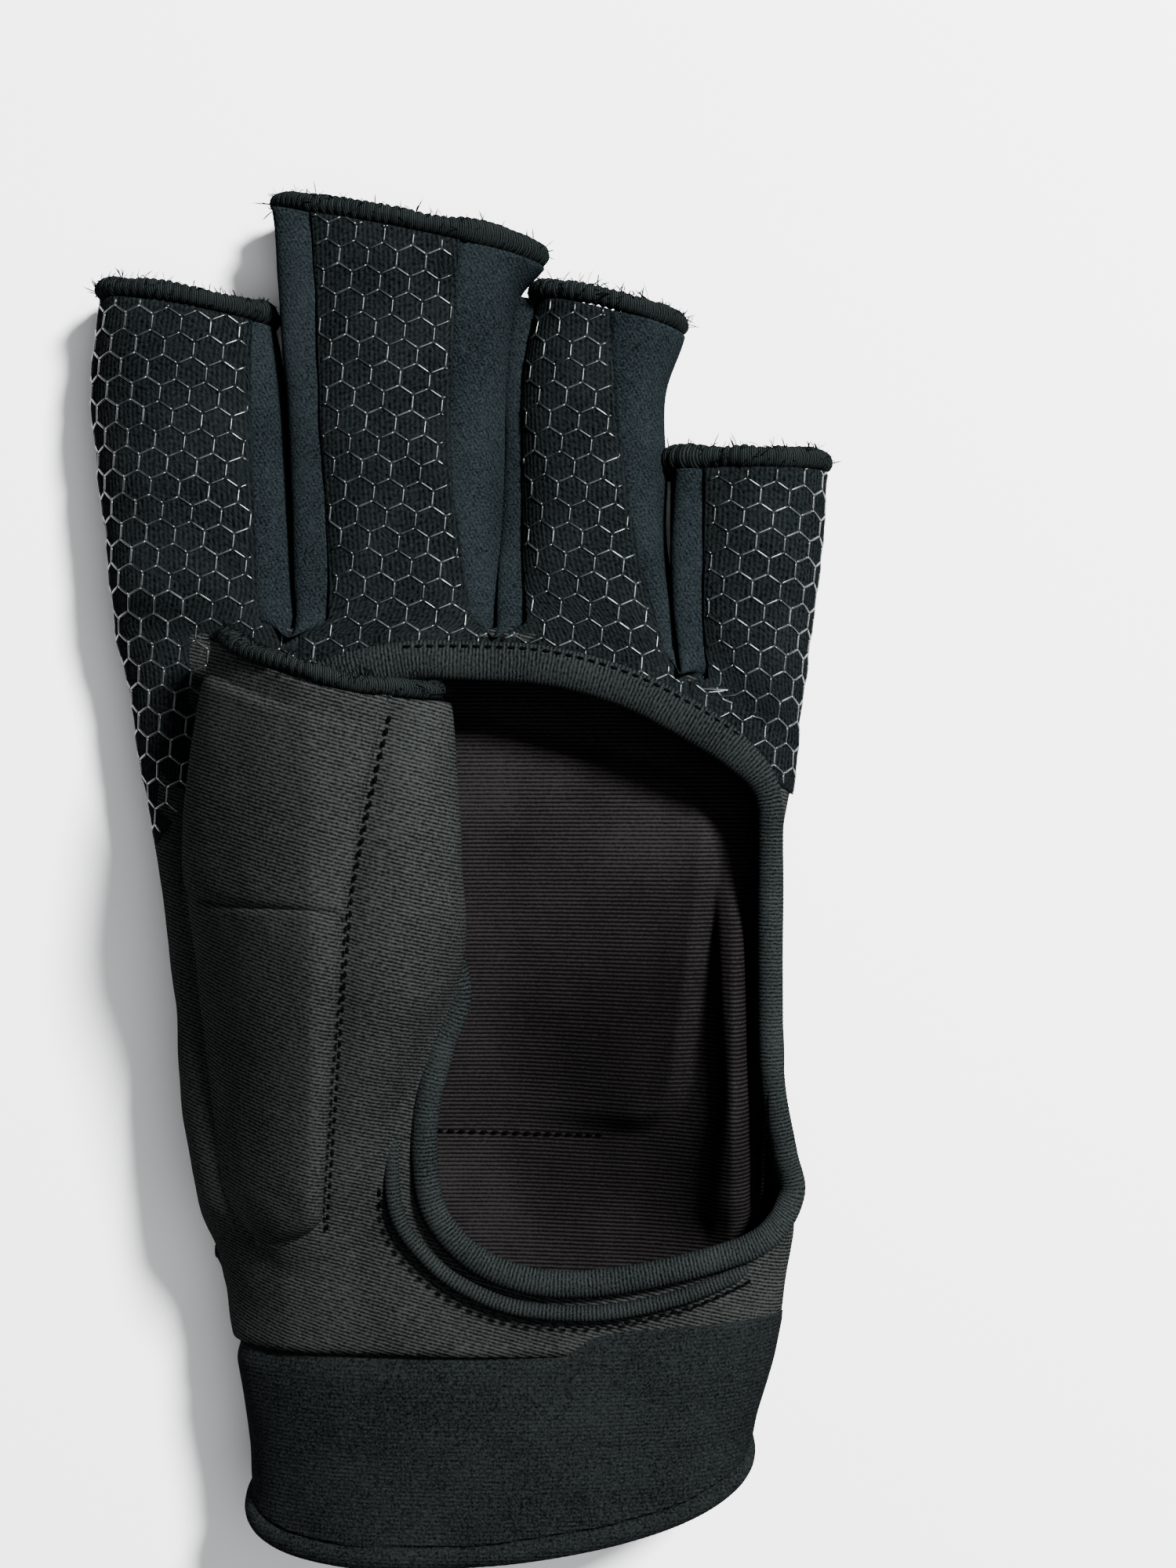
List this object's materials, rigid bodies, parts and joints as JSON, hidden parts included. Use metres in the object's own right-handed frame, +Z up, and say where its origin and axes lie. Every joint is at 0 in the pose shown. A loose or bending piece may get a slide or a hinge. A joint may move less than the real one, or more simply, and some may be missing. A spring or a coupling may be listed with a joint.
{
  "type": "field hockey glove",
  "caption": "Left-hand field hockey glove with an open palm, half fingers, a half thumb folded over the palm, foam-backed knit and overlocked edges.",
  "frame": {"origin": "centre of the bounding box's base, on the surface the glove's back lies on", "axes": "+X towards the little finger's side, +Y along the fingers, +Z up out of the palm"},
  "size_m": [0.1113, 0.2028, 0.0495],
  "materials": {
    "padded_knit": "matt black brushed knit over thin foam",
    "lining_knit": "black knit with fine cross ribs and a faint sheen",
    "printed_knit": "black stretch knit with a raised grey-silver net of hexagons",
    "side_knit": "bluish black stretch knit, matt",
    "binding_knit": "ribbed black knit rolled over an edge",
    "overlock_thread": "dense wraps of fuzzy black thread"
  },
  "bodies": {
    "root": {"hand_back": "padded_knit", "palm_and_thumb": "padded_knit", "back_pad": "lining_knit", "thumb_pad_upper": "padded_knit", "thumb_pad_lower": "padded_knit", "palm_binding": "binding_knit", "palm_binding_welt": "binding_knit", "wristband": "padded_knit", "wrist_hem": "binding_knit", "thumb_hem": "overlock_thread", "index_front": "printed_knit", "index_back": "side_knit", "index_hem": "overlock_thread", "middle_front": "printed_knit", "middle_back": "side_knit", "middle_hem": "overlock_thread", "ring_front": "printed_knit", "ring_back": "side_knit", "ring_hem": "overlock_thread", "little_front": "printed_knit", "little_back": "side_knit", "little_hem": "overlock_thread", "side_strip_index_middle": "side_knit", "side_strip_middle_ring": "side_knit", "side_strip_ring_little": "side_knit"}
  },
  "joints": []
}
